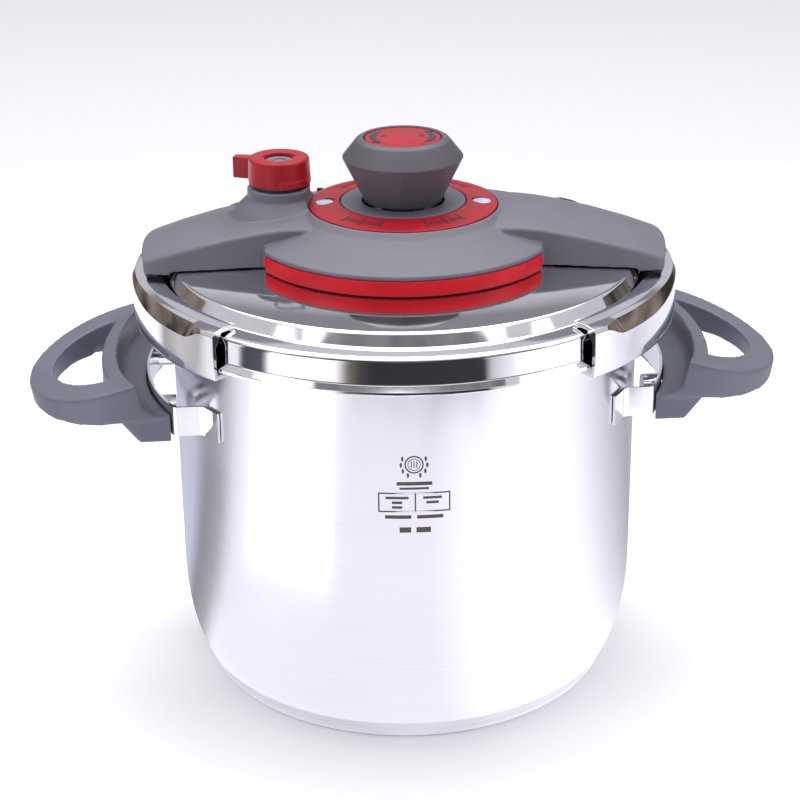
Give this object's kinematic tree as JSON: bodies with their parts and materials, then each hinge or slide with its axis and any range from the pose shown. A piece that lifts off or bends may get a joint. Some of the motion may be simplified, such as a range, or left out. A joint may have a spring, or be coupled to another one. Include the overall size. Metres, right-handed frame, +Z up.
{
  "type": "pressure cooker",
  "caption": "Steel pressure cooker whose knob drives two chromed jaws over the lid rim, with a lever-topped steam valve and two loop handles.",
  "frame": {"origin": "centre of the base, where it stands on the hob", "axes": "+X through the right jaw and the right handle, +Y away from the front, +Z up"},
  "size_m": [0.391, 0.2734, 0.2869],
  "materials": {
    "steel": "satin brushed stainless steel",
    "lid_steel": "mirror polished stainless steel",
    "jaw_chrome": "bright chrome plate",
    "aluminium": "plain pressed aluminium",
    "plated_steel": "zinc plated steel",
    "housing_grey": "fine textured grey plastic",
    "knob_grey": "fine textured dark grey plastic",
    "handle_grey": "fine textured blue-grey plastic",
    "red_plastic": "semi-gloss red plastic",
    "black_plastic": "matte black plastic",
    "silicone": "translucent off-white silicone",
    "lens": "clear moulded lens over white"
  },
  "bodies": {
    "pot": {"pot_shell": "steel", "base_core": "aluminium", "base_cap": "steel", "handle_grip_left": "handle_grey", "handle_bracket_left": "jaw_chrome", "handle_grip_right": "handle_grey", "handle_bracket_right": "jaw_chrome", "handle_screw_left_a": "plated_steel", "handle_screw_left_b": "plated_steel", "handle_screw_right_a": "plated_steel", "handle_screw_right_b": "plated_steel"},
    "lid": {"lid_shell": "lid_steel", "gasket": "silicone", "centre_stud": "plated_steel", "centre_washer": "silicone", "centre_nut": "plated_steel", "arm_guide_left": "plated_steel", "arm_guide_right": "plated_steel", "housing_top": "housing_grey", "front_trim": "red_plastic", "rear_trim": "red_plastic", "dial_ring": "red_plastic", "knob_collar": "housing_grey", "window_left": "lens", "window_right": "lens", "valve_body": "plated_steel", "valve_seal": "silicone", "valve_nut": "plated_steel", "valve_bezel": "black_plastic", "safety_body": "plated_steel", "safety_nut": "plated_steel", "safety_spring": "plated_steel", "lock_sleeve": "silicone", "housing_screw_1": "plated_steel", "housing_screw_2": "plated_steel", "housing_screw_3": "plated_steel", "housing_screw_4": "plated_steel"},
    "jaw_left": {"jaw_left": "jaw_chrome", "jaw_arm_left": "plated_steel", "cam_pin_left": "plated_steel", "jaw_rivet_left_a": "plated_steel", "jaw_rivet_left_b": "plated_steel"},
    "jaw_right": {"jaw_right": "jaw_chrome", "jaw_arm_right": "plated_steel", "cam_pin_right": "plated_steel", "jaw_rivet_right_a": "plated_steel", "jaw_rivet_right_b": "plated_steel"},
    "knob": {"cam_disc": "plated_steel", "state_disc": "lens", "knob_body": "knob_grey", "knob_screw": "plated_steel", "knob_cap": "red_plastic"},
    "selector": {"selector_cap": "red_plastic", "valve_spring": "plated_steel"},
    "plunger": {"valve_plunger": "housing_grey"},
    "lock_pin": {"lock_pin": "red_plastic"},
    "safety_poppet": {"safety_poppet": "silicone"}
  },
  "joints": [
    {"name": "lid_lift", "type": "slide", "parent": "pot", "child": "lid", "axis": [0, 0, 1], "range_m": [0, 0.12]},
    {"name": "knob_turn", "type": "hinge", "parent": "lid", "child": "knob", "pos_m": [0, 0, 0.25], "axis": [0, 0, 1], "range_deg": [0, 90]},
    {"name": "jaw_left_slide", "type": "slide", "parent": "lid", "child": "jaw_left", "axis": [-1, 0, 0], "range_m": [0, 0.014]},
    {"name": "jaw_right_slide", "type": "slide", "parent": "lid", "child": "jaw_right", "axis": [1, 0, 0], "range_m": [0, 0.014]},
    {"name": "selector_turn", "type": "hinge", "parent": "lid", "child": "selector", "pos_m": [-0.063, 0.004, 0.269], "axis": [0, 0, 1], "range_deg": [0, 90]},
    {"name": "plunger_lift", "type": "slide", "parent": "selector", "child": "plunger", "axis": [0, 0, 1], "range_m": [0, 0.002], "stiffness_N_per_m": 800, "springref_m": -0.002, "deforming": ["valve_spring"]},
    {"name": "lock_pin_rise", "type": "slide", "parent": "lid", "child": "lock_pin", "axis": [0, 0, 1], "range_m": [0, 0.004]},
    {"name": "safety_poppet_lift", "type": "slide", "parent": "lid", "child": "safety_poppet", "axis": [0, 0, 1], "range_m": [0, 0.002], "stiffness_N_per_m": 800, "springref_m": -0.002, "deforming": ["safety_spring"]}
  ],
  "couplings": [
    {"joint": "jaw_left_slide", "follows": "knob_turn", "m_per_rad": 0.0089127},
    {"joint": "jaw_right_slide", "follows": "knob_turn", "m_per_rad": 0.0089127}
  ]
}
